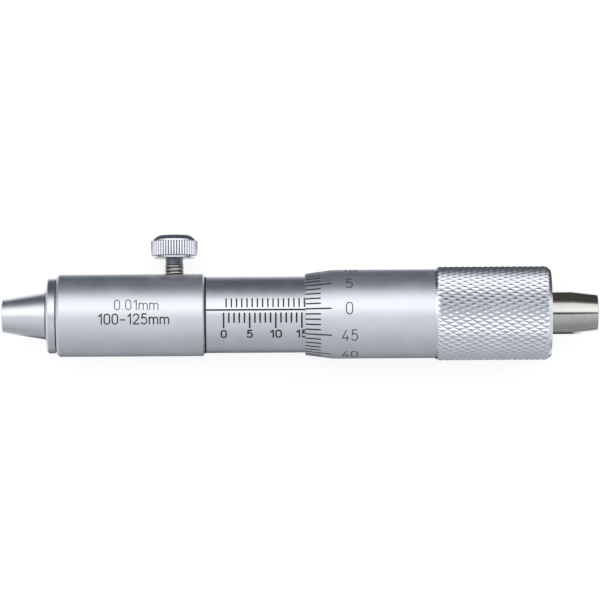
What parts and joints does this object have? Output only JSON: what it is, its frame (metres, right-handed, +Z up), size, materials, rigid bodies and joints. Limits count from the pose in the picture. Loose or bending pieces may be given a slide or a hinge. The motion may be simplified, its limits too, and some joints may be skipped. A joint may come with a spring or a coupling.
{
  "type": "inside micrometer",
  "caption": "Tubular inside micrometer with a conical anvil, a graduated sleeve, a diamond-knurled thimble that screws the spindle in and out, and a ridged knob that locks it.",
  "frame": {"origin": "Crown of the anvil's spherical measuring face, on the measuring axis. The bench that it lies on is half the grip's diameter below.", "axes": "+X along the measuring axis from the anvil to the spindle; +Z up from the bench; the lock screw points to +Y and slightly down, and the scale faces up."},
  "size_m": [0.1155, 0.0245, 0.0182],
  "materials": {
    "satin_chrome": "satin chrome plate over steel",
    "ground_steel": "hardened and ground",
    "dark_steel": "turned, unplated",
    "bright_chrome": "bright chrome plate",
    "carbide": "ground and lapped hard metal",
    "brass": "turned"
  },
  "bodies": {
    "body": {"anvil": "satin_chrome", "anvil_insert": "carbide", "body": "satin_chrome", "barrel": "ground_steel", "graduated_sleeve": "satin_chrome", "adjusting_ring": "ground_steel"},
    "spindle": {"spindle": "ground_steel", "spindle_insert": "carbide"},
    "thimble": {"thimble": "satin_chrome", "thimble_nut": "ground_steel"},
    "lock_pad": {"lock_pad": "brass"},
    "lock_screw": {"lock_stud": "dark_steel", "lock_knob": "bright_chrome"}
  },
  "joints": [
    {"name": "spindle_travel", "type": "slide", "parent": "body", "child": "spindle", "axis": [1, 0, 0], "range_m": [-0.0155, 0.0095]},
    {"name": "thimble_turn", "type": "hinge", "parent": "spindle", "child": "thimble", "pos_m": [0.08, 0, 0], "axis": [1, 0, 0], "range_deg": [-11160, 6840]},
    {"name": "lock_feed", "type": "slide", "parent": "body", "child": "lock_pad", "axis": [0, 0.9407, -0.3393], "range_m": [-0.00015, 0.0014]},
    {"name": "lock_turn", "type": "hinge", "parent": "lock_pad", "child": "lock_screw", "pos_m": [0.0335, 0, 0], "axis": [0, 0.9407, -0.3393], "range_deg": [-77.15, 720]}
  ],
  "couplings": [
    {"joint": "thimble_turn", "follows": "spindle_travel", "rad_per_m": 12566},
    {"joint": "lock_turn", "follows": "lock_feed", "rad_per_m": 8976}
  ]
}
